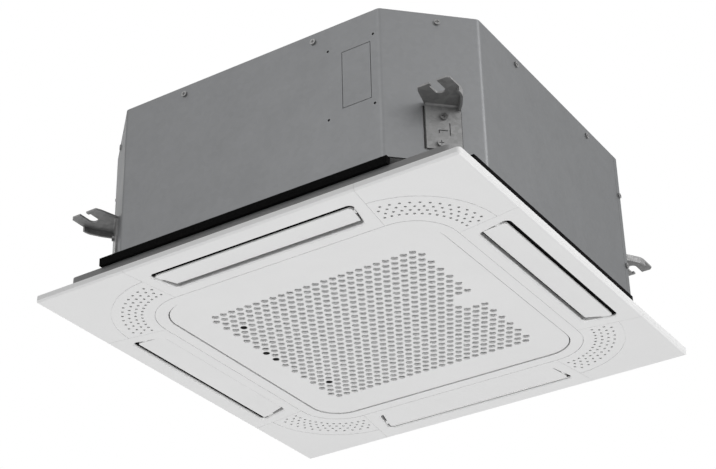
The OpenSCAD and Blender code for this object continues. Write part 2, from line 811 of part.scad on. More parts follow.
// one louvre for the front side, shown at its rest angle
module louvre() color(white) {
  near = outlet_in + louvre_gap_in;
  far = outlet_out - louvre_gap_out;
  nose = louvre_thickness - louvre_edge;
  translate([0, -louvre_axis, louvre_axis_z]) rotate([louvre_rest, 0, 0])
    translate([0, louvre_axis, -louvre_axis_z]) {
      translate([0, 0, louvre_z]) intersection() {
        translate([(louvre_gap_end - louvre_gap_motor) / 2, 0, 0])
          outlet_block(near, far, -(louvre_gap_end + louvre_gap_motor) / 2, outlet_r / 2, -skin,
            3 * louvre_axis_z);
        rotate([90, 0, 90]) linear_extrude(panel_side, center = true) polygon([[-near, nose / 2],
          [-near - nose, 0], [-far + nose / 2, 0], [-far, nose / 2], [-far, louvre_thickness - nose / 2],
          [-far + nose, louvre_thickness], [-louvre_axis, louvre_thickness], [-near, nose / 2 + louvre_edge]]);
      }
      for (s = [-1, 1]) {
        translate([s > 0 ? louvre_ear_at : -louvre_ear_at - louvre_ear, 0, 0]) {
          translate([0, -louvre_axis, louvre_axis_z]) rotate([0, 90, 0])
            cylinder(r = louvre_ear_r, h = louvre_ear);
          box([0, -louvre_axis - louvre_ear_r, louvre_z + louvre_edge / 2],
            [louvre_ear, -louvre_axis + louvre_ear_r, louvre_axis_z]);
        }
        translate([s > 0 ? louvre_ear_at : -louvre_pin_at, -louvre_axis, louvre_axis_z]) rotate([0, 90, 0])
          cylinder(r = louvre_pin_r, h = louvre_pin_at - louvre_ear_at);
      }
    }
}
module louvre_front() louvre();
module louvre_right() rotate(90) louvre();
module louvre_back() rotate(180) louvre();
module louvre_left() rotate(270) louvre();

module louvre_motors() color(grey) each_side() difference() {
  motor_seat(0);
  translate([0, -louvre_axis, louvre_axis_z]) rotate([0, 90, 0])
    cylinder(r = louvre_pin_r + pin_clearance, h = louvre_pin_at + louvre_pin_r / 2);
}

module grille_holes() {
  mid = (hole_rows - 1) / 2;
  for (row = [-mid : mid]) {
    odd = abs(row) % 2;
    count = hole_columns - odd - (abs(row) < 2 ? left_out_count - odd : 0);
    for (i = [0 : count - 1])
      translate([(i - (hole_columns - 1 - odd) / 2) * hole_pitch, row * row_pitch]) circle(hole_r, $fn = 32);
  }
}

module intake_grille() color(white) {
  difference() {
    translate([0, 0, grille_z]) linear_extrude(grille_thickness) difference() {
      rounded_square(grille_half, grille_r);
      grille_holes();
    }
    hinge_bore(hinge_lug_in);
  }
  translate([0, 0, grille_back]) linear_extrude(grille_wall_height) difference() {
    square([2 * grille_wall_x, 2 * grille_wall_y], center = true);
    square([2 * (grille_wall_x - rib), 2 * (grille_wall_y - rib)], center = true);
  }
  for (s = [-1, 1]) {
    difference() {
      y = s > 0 ? hinge_lug_in : -hinge_lug_in - hinge_lug;
      translate([hinge_x - 2 * hinge_pin_r, y, grille_back - seam_gap])
        cube([4 * hinge_pin_r, hinge_lug, hinge_z + 2 * hinge_pin_r + seam_gap - grille_back]);
      hinge_bore(hinge_lug_in);
    }
    translate([-grille_half + rib, s * catch_at - catch_width / 2, grille_back])
      cube([catch_depth, catch_width, grille_wall_height]);
  }
}

// both hinge pins, from the stated distance outwards
module hinge_bore(from) for (s = [-1, 1])
  translate([hinge_x, s > 0 ? from : -hinge_reach, hinge_z]) rotate([-90, 0, 0])
    cylinder(r = hinge_pin_r, h = hinge_reach - from);

module grille_hinge_pins() color(steel) hinge_bore(hinge_lug_in);

// small nose that fills a hole of the grille from behind, short of the face
module hole_nose() translate([0, 0, grille_z + seam_gap])
  cylinder(r = hole_r - seam_gap, h = (grille_back + filter_z) / 2 - grille_z - seam_gap);

module grille_lock_screws() color(dark) for (s = [-1, 1]) translate([-lock_x, s * lock_y, 0]) {
  translate([0, 0, grille_back]) cylinder(r = lock_screw_r, h = filter_z - grille_back);
  hole_nose();
}

module filter_frame() color(white) {
  translate([0, 0, filter_z]) linear_extrude(filter_thickness) difference() {
    square([2 * filter_x, 2 * filter_y], center = true);
    square([2 * (filter_x - filter_bar), 2 * (filter_y - filter_bar)], center = true);
  }
  translate([0, 0, filter_z + mesh_thickness]) linear_extrude(filter_thickness - mesh_thickness) {
    for (i = [-2 : 2]) translate([i * filter_x / 3, 0])
      square([filter_rib, 2 * (filter_y - filter_bar)], center = true);
    for (i = [-1 : 1]) translate([0, i * filter_y / 2])
      square([2 * (filter_x - filter_bar), filter_rib], center = true);
  }
}

module filter_mesh() color([0.75, 0.76, 0.77]) translate([0, 0, filter_z]) linear_extrude(mesh_thickness)
  square([2 * (filter_x - filter_bar), 2 * (filter_y - filter_bar)], center = true);

module filter_clips() color(dark) for (row = [0, 2])
  translate([-(hole_columns - 1) / 2 * hole_pitch, -row * row_pitch, 0]) {
    translate([0, 0, (grille_back + filter_z) / 2])
      cube([clip_side, clip_side, filter_z - grille_back], center = true);
    hole_nose();
  }

module panel_back_frame() color(grey) difference() {
  union() {
    rounded_wall(frame_half, frame_corner_r, frame_wall, rim_height, frame_top);
    rounded_wall(opening_half + 2 * rib, opening_r + 2 * rib, rib, rim_height, frame_top);
    each_side() difference() {
      outlet_block(duct_in - rib, frame_half - frame_wall / 2, rib, outlet_r, rim_height, frame_top);
      outlet_block(duct_in, duct_out, 0, outlet_r, 0, 2 * frame_top);
    }
    difference() {
      rounded_plate(frame_half - frame_wall / 2, frame_corner_r, frame_top - frame_wall, frame_top);
      rounded_plate(opening_half + rib, opening_r + rib, 0, 2 * frame_top);
      each_side() outlet_block(duct_in, duct_out, 0, outlet_r, 0, 2 * frame_top);
    }
  }
}

module panel_seal() color(dark) each_side()
  box([seal_long - casing_half, -casing_half, frame_top], [casing_half - seal_short, -duct_out, casing_z]);

module intake_seal() color(dark)
  rounded_wall(opening_half + 2 * rib, opening_r + 2 * rib, rib, frame_top, casing_z);

// dark foam between the face skin and the grey frame, along the outer edge of each outlet
module outlet_seals() color(dark) each_side() {
  x = outlet_half_out - seam_gap;
  box([-x, -outlet_out - rib, seal_low], [x, -duct_out + 2 * rib - seam_gap, rim_height]);
}

module casing_ring() octagon_wall(0, sheet, casing_z, lid_z);

module side_region(from, to) {
  box([-panel_side, from, 0], [panel_side, to, 2 * casing_top]);
}

module screw_axes() {
  each_side() for (s = [-1, 1]) translate([s * lid_screw_at, -casing_half, lid_z - lid_screw_drop])
    rotate([90, 0, 0]) children();
  each_hanger() rotate(45) translate([corner_screw_at, -cut_reach, lid_z - lid_screw_drop])
    rotate([90, 0, 0]) children();
}

module lap_screw_axes() {
  for (s = [-1, 1]) for (z = [lap_screw_z, lap_screw_low_z])
    translate([s * casing_half, s * (casing_turn - lap / 2), z]) rotate([0, s * 90, 0]) children();
}

module screw_holes() {
  screw_axes() cylinder(r = screw_r, h = 2 * screw_long, center = true);
  lap_screw_axes() cylinder(r = screw_r, h = 2 * screw_long, center = true);
}

module hanger_holes() {
  each_hanger() hanger_screw_axes() cylinder(r = screw_r, h = 2 * screw_long, center = true);
}

// one wrapped sheet: a long face, the two bends beside it and the next face up to the lap
module wrapped_sheet() {
  intersection() {
    casing_ring();
    union() {
      side_region(-panel_half, -casing_turn + lap);
      box([0, -panel_half, 0], [panel_half, casing_turn - lap - seam_gap, 2 * casing_top]);
    }
  }
  box([casing_half - 2 * sheet, casing_turn - lap - 3 * sheet, casing_z],
    [casing_half - sheet, casing_turn - bend_outer_r / 2, lid_z - lid_flange - seam_gap]);
  // inner strip sunk half into the wall, so that the two are one sheet
  box([casing_half - 2 * sheet, casing_turn - lap - 3 * sheet, casing_z],
    [casing_half - sheet / 2, casing_turn - lap - sheet, lid_z - lid_flange - seam_gap]);
}

module hanger_slits() each_hanger() rotate(45) {
  box([hanger_from - slit_wide, -cut_reach - sheet, hanger_low_z],
    [hanger_from - seam_gap, -cut_reach + 2 * sheet, tongue_z - hanger_sheet]);
  box([hanger_to + seam_gap, -cut_reach - sheet, hanger_low_z],
    [hanger_to + slit_narrow, -cut_reach + 2 * sheet, tongue_z - hanger_sheet]);
}

module casing_front_right() color(steel) difference() {
  wrapped_sheet();
  screw_holes();
  hanger_holes();
  hanger_slits();
  translate([knockout_x, -casing_half, knockout_z]) cube([knockout_width + 2 * knockout_gap, 4 * sheet,
    knockout_height + 2 * knockout_gap], center = true);
  for (x = [-1, 1], z = [-1, 1])
    translate([pilot_x + x * pilot_dx / 2, -casing_half, knockout_z + z * pilot_dz / 2])
      rotate([90, 0, 0]) cylinder(r = pilot_r, h = 4 * sheet, center = true);
}

module casing_back_left() color(steel) difference() {
  rotate(180) wrapped_sheet();
  screw_holes();
  hanger_holes();
  hanger_slits();
  translate([-casing_half, (gas_y + drain_y) / 2, pipe_z])
    cube([4 * sheet, 2 * (pipe_plate_half - knockout_margin),
      2 * (pipe_plate_high - knockout_margin)], center = true);
}

module top_cover() color(steel) difference() {
  union() {
    octagon_plate(0, lid_z, casing_top);
    octagon_wall(-sheet - seam_gap / 2, sheet, lid_z - lid_flange, lid_z + sheet / 2);
  }
  screw_holes();
}

module knockout_cover() color(steel) {
  translate([knockout_x, -casing_half + sheet / 2, knockout_z])
    cube([knockout_width, sheet, knockout_height], center = true);
  translate([knockout_x, -casing_half + sheet * 3 / 2, knockout_z])
    cube([knockout_width + 2 * knockout_margin, sheet, knockout_height + 2 * knockout_margin], center = true);
}

module screw(head_r, head) {
  difference() {
    union() {
      cylinder(r = head_r, h = head);
      translate([0, 0, -screw_long]) cylinder(r = screw_r, h = screw_long + head / 2);
    }
    for (a = [0, 90]) rotate(a) translate([0, 0, head]) cube([4 / 3 * head_r, screw_slot, head], center = true);
  }
}

module casing_screws() color([0.6, 0.6, 0.6]) {
  screw_axes() screw(screw_head_r, screw_head);
  lap_screw_axes() screw(screw_head_r, screw_head);
}

// hangers are drawn for the corner at +X and -Y and mirrored to the others
module each_hanger() {
  for (x = [0, 1], y = [0, 1]) mirror([x, 0, 0]) mirror([0, y, 0]) children();
}

module hanger_screw_axes() rotate(45) {
  translate([hanger_mid, -cut_reach, hanger_screw_z]) rotate([90, 0, 0]) children();
  translate([hanger_mid - hanger_screw_shift, -cut_reach, hanger_screw_low_z]) rotate([90, 0, 0]) children();
}

module tongue_shape() {
  a = turned([hanger_from, -cut_reach], 45);
  b = turned([hanger_to, -cut_reach], 45);
  side_end = -tongue_tip + tongue_cut + tongue_straight;
  difference() {
    polygon([a, [tongue_in - tongue_cut, -tongue_tip + 2 * tongue_cut], [tongue_in, -tongue_tip],
      [tongue_out, -tongue_tip], [tongue_side, -tongue_tip + tongue_cut], [tongue_side, side_end],
      [tongue_side - tongue_cut / 2, (side_end * 2 + b[1] - tongue_waist) / 3],
      [tongue_out - tongue_waist / 2, b[1] - tongue_waist], b]);
    translate([rod_half, -rod_half]) circle(rod_slot_r);
    translate([rod_half - rod_slot_r, -tongue_tip - tongue_cut])
      square([2 * rod_slot_r, tongue_tip + tongue_cut - rod_half]);
  }
  translate([rod_half - rod_slot_r - tongue_cut, -tongue_tip])
    square([slot_hook + tongue_cut, 2 * hanger_sheet]);
}

// thin strip along the tongue's outer side, bent down as a flange
module flange_shape() intersection() {
  difference() {
    tongue_shape();
    translate([-hanger_sheet, -hanger_sheet * 2 / 3]) tongue_shape();
  }
  translate([rod_half + rod_slot_r / 3, -rod_half + rod_slot_r]) square(casing_half);
}

// the slits that free the lanced tab: a long one at its side, a short bent one across its foot
module tab_slits() rotate(45) {
  x = hanger_mid + tab_width / 2;
  z = tab_top - tab_height * 2 / 3;
  box([x, -cut_reach - 2 * hanger_sheet, tab_top - tab_height],
    [x + tab_cut, -cut_reach + hanger_sheet, tab_top]);
  box([x - tab_width, -cut_reach - 2 * hanger_sheet, z],
    [x - 2 * tab_cut, -cut_reach + hanger_sheet, z + tab_cut]);
  box([x - tab_width, -cut_reach - 2 * hanger_sheet, z - 3 * tab_cut],
    [x - tab_width + tab_cut, -cut_reach + hanger_sheet, z + tab_cut]);
}

module hanger() color([0.46, 0.46, 0.46]) difference() {
  union() {
    translate([0, 0, tongue_z]) linear_extrude(hanger_sheet) tongue_shape();
    translate([0, 0, tongue_z - flange_drop]) linear_extrude(flange_drop + hanger_sheet / 2) flange_shape();
    rotate(45) translate([0, -cut_reach, 0]) rotate([90, 0, 90]) translate([0, 0, hanger_from])
      linear_extrude(hanger_to - hanger_from) polygon([[-hanger_sheet, hanger_low_z], [0, hanger_low_z],
        [0, tongue_z + hanger_sheet], [-hanger_sheet, tongue_z + hanger_sheet],
        [-2 * hanger_sheet, tongue_z + hanger_sheet], [-2 * hanger_sheet, tongue_z],
        [-3 / 2 * hanger_sheet, tongue_z - hanger_sheet / 6],
        [-7 / 6 * hanger_sheet, tongue_z - hanger_sheet / 2],
        [-hanger_sheet, tongue_z - hanger_sheet]]);
  }
  hanger_screw_axes() cylinder(r = screw_r, h = 3 * screw_long, center = true);
  tab_slits();
}
module hanger_front_right() hanger();
module hanger_front_left() mirror([1, 0, 0]) hanger();
module hanger_back_right() mirror([0, 1, 0]) hanger();
module hanger_back_left() mirror([1, 0, 0]) mirror([0, 1, 0]) hanger();

module hanger_screws() color([0.55, 0.55, 0.55]) each_hanger() hanger_screw_axes()
  translate([0, 0, hanger_sheet]) screw(hanger_screw_head_r, hanger_screw_head);

module casing_liner() color([0.9, 0.9, 0.88]) difference() {
  octagon_wall(liner_out, lining, pan_z, lid_z - lid_flange - seam_gap);
  translate([-panel_half, (gas_y + drain_y) / 2 - pipe_plate_half, pipe_z - pipe_plate_high])
    cube([panel_half, 2 * pipe_plate_half, 2 * pipe_plate_high]);
}

module drain_pan() color([0.93, 0.93, 0.93]) difference() {
  octagon_plate(liner_in, pan_z, pan_top);
  translate([0, 0, pan_z - sheet]) cylinder(r = flare_r + bell, h = casing_top);
  each_side() translate([0, 0, pan_z - sheet]) linear_extrude(casing_top)
    outlet_shape(duct_in + rib, casing_half, -rib, outlet_r);
  difference() {
    rounded_plate(coil_half + coil_clearance, coil_r + coil_clearance, pan_top - trough_depth, casing_top);
    rounded_plate(coil_half - coil_thick - coil_clearance, coil_r - coil_thick, 0, casing_top);
  }
  translate([-pump_at, pump_at, pump_z - seam_gap - sheet])
    cylinder(r = pump_r + coil_clearance, h = casing_top);
  translate([-float_x, float_y, float_z - coil_clearance])
    cylinder(r = float_r + coil_clearance, h = casing_top);
}

module bell_mouth() color(dark) {
  rotate_extrude() polygon([[flare_r, pan_z - bell], [flare_r - bell, pan_z],
    [throat_r + 3 * bell, throat_z - 5 * bell],
    [throat_r + bell, throat_z], [throat_r, throat_z], [throat_r + 2 * bell, throat_z - 5 * bell],
    [flare_r - 3 * bell, pan_z - bell]]);
  difference() {
    rounded_plate(opening_half + 2 * rib, opening_r + 2 * rib, pan_z - bell, pan_z);
    cylinder(r = flare_r - bell, h = casing_top);
  }
}

module coil_gap() {
  box([-panel_half, coil_gap_at, 0], [-coil_gap_at, panel_half, casing_top]);
}

module heat_exchanger() color([0.78, 0.8, 0.82]) difference() {
  rounded_plate(coil_half, coil_r, pan_top - trough_depth + coil_clearance, coil_top);
  rounded_plate(coil_half - coil_thick, coil_r - coil_thick, 0, 2 * casing_top);
  coil_gap();
}

module coil_tubes() color(copper) {
  mid = coil_half - coil_thick / 2;
  for (i = [0 : bend_count - 1]) {
    z = pan_top + tube_pitch / 2 + i * tube_pitch;
    translate([-coil_gap_at, mid, z]) rotate([90, 0, 180]) return_bend();
    translate([-mid, coil_gap_at, z]) rotate([90, 0, 90]) return_bend();
  }
}

module return_bend() rotate([0, 0, -90]) rotate_extrude(angle = 180) translate([bend_r, 0]) circle(tube_r);

module fan_motor() color(grey) difference() {
  union() {
    translate([0, 0, motor_z]) cylinder(r = motor_r, h = motor_height);
    translate([0, 0, motor_z - bell]) cylinder(r = motor_boss_r, h = 2 * bell);
  }
  translate([0, 0, motor_z - motor_height]) cylinder(r = shaft_r + pin_clearance, h = 2 * motor_height - bell);
}

module motor_mounts() color(dark) for (a = [45 : 90 : 315]) rotate(a)
  translate([mount_at, 0, motor_z + motor_height]) cylinder(r = mount_r, h = lid_z - motor_z - motor_height);

module motor_shaft() color(steel) translate([0, 0, shaft_low_z])
  cylinder(r = shaft_r, h = motor_z + motor_height - 2 * bell - shaft_low_z);

module turbo_fan() color([0.8, 0.8, 0.8]) difference() {
  union() {
    translate([0, 0, fan_plate_z]) cylinder(r = fan_r, h = fan_wall);
    translate([0, 0, fan_plate_z - hub_height]) cylinder(r = hub_r, h = hub_height + fan_wall);
    rotate_extrude() polygon([[fan_inlet_r, fan_z], [fan_inlet_r + fan_wall, fan_z],
      [fan_inlet_r + 2 * fan_wall, fan_z + fan_wall], [fan_r, fan_z + shroud_rise],
      [fan_r, fan_z + shroud_rise + fan_wall],
      [fan_inlet_r, fan_z + 3 * fan_wall]]);
    intersection() {
      translate([0, 0, fan_z + fan_wall]) linear_extrude(fan_plate_z - fan_z) difference() {
        circle(fan_r);
        circle(blade_in_r);
      }
      for (a = [1 : blade_count]) rotate(a * 360 / blade_count)
        translate([blade_in_r, blade_curve_r, fan_z + 2 * fan_wall])
        difference() {
          cylinder(r = blade_curve_r, h = fan_plate_z - fan_z - 2 * fan_wall);
          translate([0, 0, -fan_wall]) cylinder(r = blade_curve_r - fan_wall, h = fan_plate_z);
          translate([-2 * blade_curve_r, -2 * blade_curve_r, -fan_wall])
            cube([2 * blade_curve_r, 4 * blade_curve_r, fan_plate_z]);
          translate([0, 0, -fan_wall]) cube([2 * blade_curve_r, 2 * blade_curve_r, fan_plate_z]);
        }
    }
  }
  cylinder(r = shaft_r + pin_clearance, h = casing_top);
  shroud_inside();
}

// keeps the blades inside the shroud's sloping wall
module shroud_inside() rotate_extrude() polygon([[fan_inlet_r + 3 * fan_wall, 0], [fan_r + fan_wall, 0],
  [fan_r + fan_wall, fan_z + shroud_rise], [fan_r, fan_z + shroud_rise],
  [fan_inlet_r + 3 * fan_wall, fan_z + fan_wall + fan_wall / 2]]);

module fan_nut() color(steel) translate([0, 0, fan_plate_z - hub_height - nut_thick]) difference() {
  cylinder(r = nut_flats / sqrt(3), h = nut_thick, $fn = 6);
  translate([0, 0, -nut_thick]) cylinder(r = shaft_r, h = 3 * nut_thick, $fn = 72);
}

module drain_pump() color(white) translate([-pump_at, pump_at, pump_z]) {
  difference() {
    cylinder(r = pump_r, h = pump_height);
    translate([0, 0, -impeller_play])
      cylinder(r = impeller_r + impeller_play, h = impeller_height + 3 * impeller_play);
    cylinder(r = impeller_shaft_r + pin_clearance, h = pump_height / 2);
  }
  for (a = [0 : 120 : 240]) rotate(a)
    translate([(pump_r + impeller_r + impeller_play) / 2, 0, -seam_gap - sheet])
      cylinder(r = stem_r, h = 3 * sheet);
}

module pump_impeller() color(grey) translate([-pump_at, pump_at, pump_z]) {
  translate([0, 0, impeller_play]) {
    cylinder(r = 2 * impeller_shaft_r, h = impeller_height);
    for (a = [0 : 60 : 300]) rotate(a) translate([0, -impeller_shaft_r / 2, 0])
      cube([impeller_r, impeller_shaft_r, impeller_height]);
    cylinder(r = impeller_shaft_r, h = pump_height / 2 - 2 * impeller_play);
  }
}

module float_stem() color(white) {
  translate([-float_x, float_y, float_z - coil_clearance])
    cylinder(r = stem_r, h = stem_top - float_z + coil_clearance);
  translate([-float_x, float_y, stem_top - stem_r]) cylinder(r = float_r, h = stem_r);
}

module float_ring() color([0.9, 0.9, 0.9]) translate([-float_x, float_y, float_z]) difference() {
  cylinder(r = float_r, h = float_height);
  translate([0, 0, -stem_play]) cylinder(r = stem_r + stem_play, h = 2 * float_height);
}

module electrical_box() color(steel) difference() {
  box([-box_half, box_from, box_z], [box_half, box_to, box_top]);
  box([-box_half + box_wall, box_from + box_wall, 0],
    [box_half - box_wall, box_to - box_wall, box_top - box_wall]);
}

module electrical_box_cover() color(steel)
  box([-box_half, box_from, box_z - box_wall], [box_half, box_to, box_z]);

module control_board() color([0.1, 0.35, 0.2])
  box([-box_half / 2, box_from + 2 * box_wall, box_top - box_wall - board],
    [box_half - 2 * box_wall, box_to - 2 * box_wall, box_top - box_wall]);

module terminal_block() color([0.9, 0.9, 0.85])
  box([-box_half + 2 * box_wall, box_from + 3 * box_wall, box_top - box_wall - terminal_height],
    [-box_half / 2 - 2 * box_wall, box_to - 3 * box_wall, box_top - box_wall]);

module room_sensor() color(dark)
  translate([-sensor_long, box_from - sensor_r, box_z + sensor_r]) rotate([0, 90, 0])
    cylinder(r = sensor_r, h = sensor_long);

// a straight tube along X from the first to the second distance left of the centre
module tube(y, r, bore, near, far) {
  translate([-far, y, pipe_z]) rotate([0, 90, 0]) difference() {
    cylinder(r = r, h = far - near);
    translate([0, 0, -bore]) cylinder(r = bore, h = 2 * far);
  }
}
module gas_pipe() color(copper)
  tube(gas_y, gas_r, gas_r - pipe_wall, coil_half + seam_gap, plate_face + union_hex / 2);
module liquid_pipe() color(copper)
  tube(liquid_y, liquid_r, liquid_r - pipe_wall, coil_half + seam_gap, plate_face + union_hex / 2);

module drain_socket() color([0.85, 0.85, 0.83]) {
  tube(drain_y, drain_inner_r, drain_inner_r - drain_wall, lined_half - lining, plate_face + sheet);
  tube(drain_y, drain_r, drain_inner_r - drain_wall, plate_face, pipe_reach);
}

// brass unions on the pipes: a hexagon against the pipe plate and a round free end
module pipe_unions() color([0.75, 0.6, 0.3])
  for (p = [[gas_y, gas_r, gas_union_r], [liquid_y, liquid_r, liquid_union_r]]) difference() {
    union() {
      translate([-plate_face - union_hex, p[0], pipe_z]) rotate([0, 90, 0])
        cylinder(r = p[2] + union_step, h = union_hex, $fn = 6);
      translate([-pipe_reach, p[0], pipe_z]) rotate([0, 90, 0]) cylinder(r = p[2], h = pipe_reach - plate_face);
    }
    translate([-pipe_reach - sheet, p[0], pipe_z]) rotate([0, 90, 0])
      cylinder(r = p[1] - pipe_wall, h = casing_half);
    translate([-plate_face - union_hex / 2, p[0], pipe_z]) rotate([0, 90, 0])
      cylinder(r = p[1], h = casing_half);
  }

module pipe_plate() color(steel) difference() {
  translate([-casing_half - sheet / 2, (gas_y + drain_y) / 2, pipe_z])
    cube([sheet, 2 * pipe_plate_half, 2 * pipe_plate_high], center = true);
  for (p = [[gas_y, gas_r], [liquid_y, liquid_r], [drain_y, drain_inner_r]])
    translate([-casing_half, p[0], pipe_z]) rotate([0, 90, 0])
      cylinder(r = p[1] + pin_clearance, h = 4 * sheet, center = true);
}

panel_frame();
corner_cover_front_left();
corner_cover_front_right();
corner_cover_back_right();
corner_cover_back_left();
louvre_front();
louvre_right();
louvre_back();
louvre_left();
louvre_motors();
intake_grille();
grille_hinge_pins();
grille_lock_screws();
filter_frame();
filter_mesh();
filter_clips();
panel_back_frame();
panel_seal();
intake_seal();
outlet_seals();
casing_front_right();
casing_back_left();
top_cover();
knockout_cover();
casing_screws();
hanger_front_left();
hanger_front_right();
hanger_back_right();
hanger_back_left();
hanger_screws();
casing_liner();
drain_pan();
bell_mouth();
heat_exchanger();
coil_tubes();
fan_motor();
motor_mounts();
motor_shaft();
turbo_fan();
fan_nut();
drain_pump();
pump_impeller();
float_stem();
float_ring();
electrical_box();
electrical_box_cover();
control_board();
terminal_block();
room_sensor();
gas_pipe();
liquid_pipe();
pipe_unions();
drain_socket();
pipe_plate();
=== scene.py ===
import bpy, json, math
from mathutils import Matrix, Vector

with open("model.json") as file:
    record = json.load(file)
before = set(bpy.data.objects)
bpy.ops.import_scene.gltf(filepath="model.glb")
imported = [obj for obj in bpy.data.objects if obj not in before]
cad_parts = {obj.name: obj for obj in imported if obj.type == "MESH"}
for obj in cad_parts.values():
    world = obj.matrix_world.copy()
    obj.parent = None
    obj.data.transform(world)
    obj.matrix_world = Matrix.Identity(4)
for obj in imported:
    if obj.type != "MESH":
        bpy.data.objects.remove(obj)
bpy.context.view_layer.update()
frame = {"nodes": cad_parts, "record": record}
nodes = frame["nodes"]
MM = 0.001

# Camera: placed from the photograph's lines, with the panel 620 mm wide.
IMAGE_WIDTH, IMAGE_HEIGHT = 716, 469
FOCAL_PX = 1803.8
CENTRE_X, CENTRE_Y = 358.99, 234.81
AZIMUTH, ELEVATION, ROLL = math.radians(32.01), math.radians(-30.035), math.radians(-1.434)
DISTANCE, SIDE, UP = 2367.1 * MM, -18.61 * MM, 124.94 * MM
SENSOR = 36.0
CLIP_NEAR, CLIP_FAR = 0.05, 60


def make_camera():
    flat = math.cos(ELEVATION)
    back = Vector((math.sin(AZIMUTH) * flat, -math.cos(AZIMUTH) * flat, math.sin(ELEVATION)))
    level = Vector((0, 0, 1)).cross(back).normalized()
    upright = back.cross(level)
    right = math.cos(ROLL) * level + math.sin(ROLL) * upright
    up = -math.sin(ROLL) * level + math.cos(ROLL) * upright
    place = back * DISTANCE + right * SIDE + up * UP
    data = bpy.data.cameras.new("camera")
    data.sensor_width = SENSOR
    data.lens = FOCAL_PX * SENSOR / IMAGE_WIDTH
    data.shift_x = (IMAGE_WIDTH / 2 - CENTRE_X) / IMAGE_WIDTH
    data.shift_y = (CENTRE_Y - IMAGE_HEIGHT / 2) / IMAGE_WIDTH
    data.clip_start, data.clip_end = CLIP_NEAR, CLIP_FAR
    camera = bpy.data.objects.new("camera", data)
    turn = Matrix((right, up, back)).transposed().to_4x4()
    camera.matrix_world = Matrix.Translation(place) @ turn
    bpy.context.collection.objects.link(camera)
    bpy.context.scene.camera = camera


make_camera()
scene = bpy.context.scene
scene.view_settings.view_transform = "Standard"


# Materials

class Nodes:
    """One material and short ways to add nodes to it."""

    def __init__(self, name):
        self.material = bpy.data.materials.new(name)
        self.material.use_nodes = True
        self.tree = self.material.node_tree
        self.shader = self.tree.nodes["Principled BSDF"]

    def new(self, kind, **values):
        made = self.tree.nodes.new(kind)
        for key, value in values.items():
            if key in made.inputs:
                made.inputs[key].default_value = value
            else:
                setattr(made, key, value)
        return made

    def link(self, out, into):
        self.tree.links.new(out, into)

    def set(self, **values):
        for key, value in values.items():
            self.shader.inputs[key.replace("_", " ")].default_value = value

    def place(self, scale=(1, 1, 1)):
        spot = self.new("ShaderNodeTexCoord")
        size = self.new("ShaderNodeMapping")
        size.inputs["Scale"].default_value = scale
        self.link(spot.outputs["Object"], size.inputs["Vector"])
        return size.outputs["Vector"]

    def noise(self, scale, detail=2.0, rough=0.5, at=None):
        made = self.new("ShaderNodeTexNoise", Scale=scale, Detail=detail, Roughness=rough)
        self.link(at or self.place(), made.inputs["Vector"])
        return made.outputs["Fac"]

    def cells(self, scale, feature="F1", out="Color", at=None):
        made = self.new("ShaderNodeTexVoronoi", Scale=scale)
        made.feature = feature
        self.link(at or self.place(), made.inputs["Vector"])
        return made.outputs[out]

    def ramp(self, value, stops):
        made = self.new("ShaderNodeValToRGB")
        while len(made.color_ramp.elements) < len(stops):
            made.color_ramp.elements.new(0.5)
        for element, (place, tone) in zip(made.color_ramp.elements, stops):
            element.position = place
            element.color = (*tone, 1) if isinstance(tone, (tuple, list)) else (tone, tone, tone, 1)
        self.link(value, made.inputs["Fac"])
        return made.outputs["Color"]

    def mix(self, a, b, fac=0.5, kind="MIX"):
        made = self.new("ShaderNodeMix", data_type="RGBA")
        made.blend_type = kind
        for value, port in ((fac, made.inputs[0]), (a, made.inputs[6]), (b, made.inputs[7])):
            if isinstance(value, bpy.types.NodeSocket):
                self.link(value, port)
            elif port.type == "RGBA":
                shade = value if isinstance(value, (tuple, list)) else (value, value, value)
                port.default_value = (*shade, 1)
            else:
                port.default_value = value
        return made.outputs[2]

    def bump(self, *heights):
        before = None
        for height, strength, distance in heights:
            made = self.new("ShaderNodeBump", Strength=strength, Distance=distance)
            self.link(height, made.inputs["Height"])
            if before:
                self.link(before, made.inputs["Normal"])
            before = made.outputs["Normal"]
        self.link(before, self.shader.inputs["Normal"])

    def colour(self, value):
        self.link(value, self.shader.inputs["Base Color"])

    def rough(self, value):
        self.link(value, self.shader.inputs["Roughness"])


def tone(value, spread):
    """Two greys or colours a little below and above one value."""
    value = value if isinstance(value, (tuple, list)) else (value,) * 3
    return tuple(v * (1 - spread) for v in value), tuple(v * (1 + spread) for v in value)


def plastic(name, value, spread=0.012, rough=(0.42, 0.5), grain=0.05, grain_scale=2600, spec=0.45):
    m = Nodes(name)
    low, high = tone(value, spread)
    m.colour(m.ramp(m.noise(9, 3), [(0.3, low), (0.7, high)]))
    m.rough(m.ramp(m.noise(40, 2), [(0.35, rough[0]), (0.65, rough[1])]))
    m.set(Specular_IOR_Level=spec)
    m.bump((m.noise(grain_scale, 1), grain, 0.0004))
    return m.material


